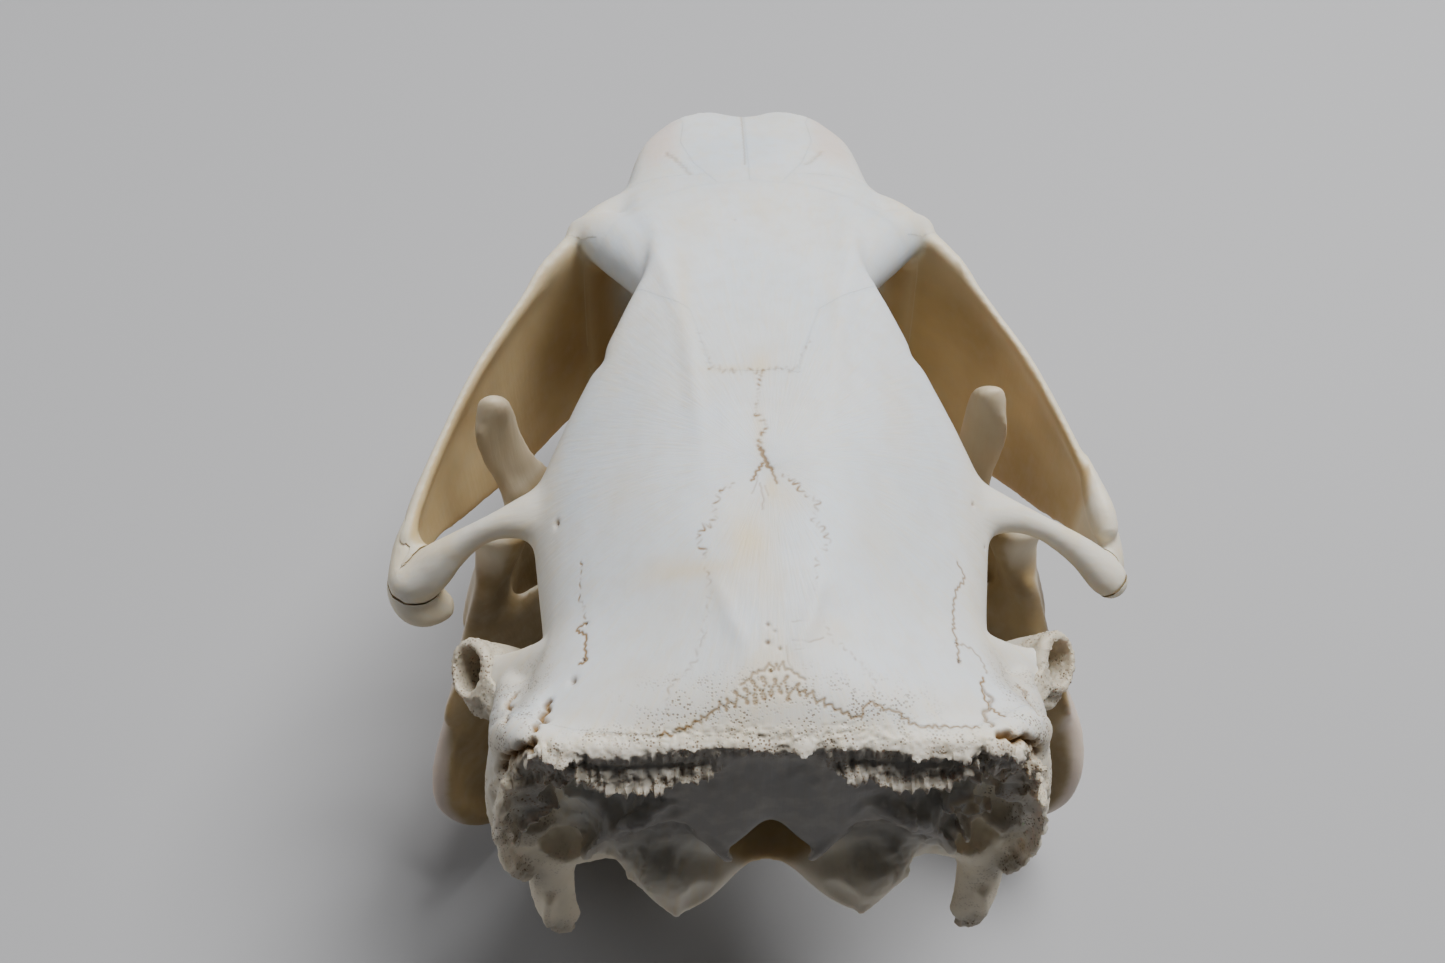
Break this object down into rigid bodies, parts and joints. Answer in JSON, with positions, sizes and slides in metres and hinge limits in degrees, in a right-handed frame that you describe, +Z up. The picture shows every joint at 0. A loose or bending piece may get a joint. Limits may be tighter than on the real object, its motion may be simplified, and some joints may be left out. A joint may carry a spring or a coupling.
{
  "type": "beaver skull",
  "caption": "Beaver skull with its lower jaw in place: flat braincase, deep flaring cheek arches, short broad snout, long chisel-edged front teeth and flat grinding teeth, resting on the jaw.",
  "frame": {"origin": "middle of the bounding box at floor level, where the lower jaw stands", "axes": "+Y from the back of the skull to the nose, +Z up, +X to the skull's right"},
  "size_m": [0.099, 0.1273, 0.0866],
  "materials": {
    "bone": "dry satin bone",
    "rough_bone": "porous bone",
    "jaw_bone": "dry satin bone, yellowed",
    "enamel": "glossy orange enamel"
  },
  "bodies": {
    "root": {"braincase": "bone", "occiput": "rough_bone", "frontal": "bone", "upper_jaw": "bone", "snout": "bone", "nasal_right": "bone", "nasal_left": "bone", "cheek_arch_right": "bone", "cheek_arch_left": "bone", "ear_capsule_right": "rough_bone", "ear_capsule_left": "rough_bone", "jaw_right": "jaw_bone", "jaw_left": "jaw_bone", "upper_incisor_right": "enamel", "upper_incisor_left": "enamel", "lower_incisor_right": "enamel", "lower_incisor_left": "enamel"}
  },
  "joints": []
}
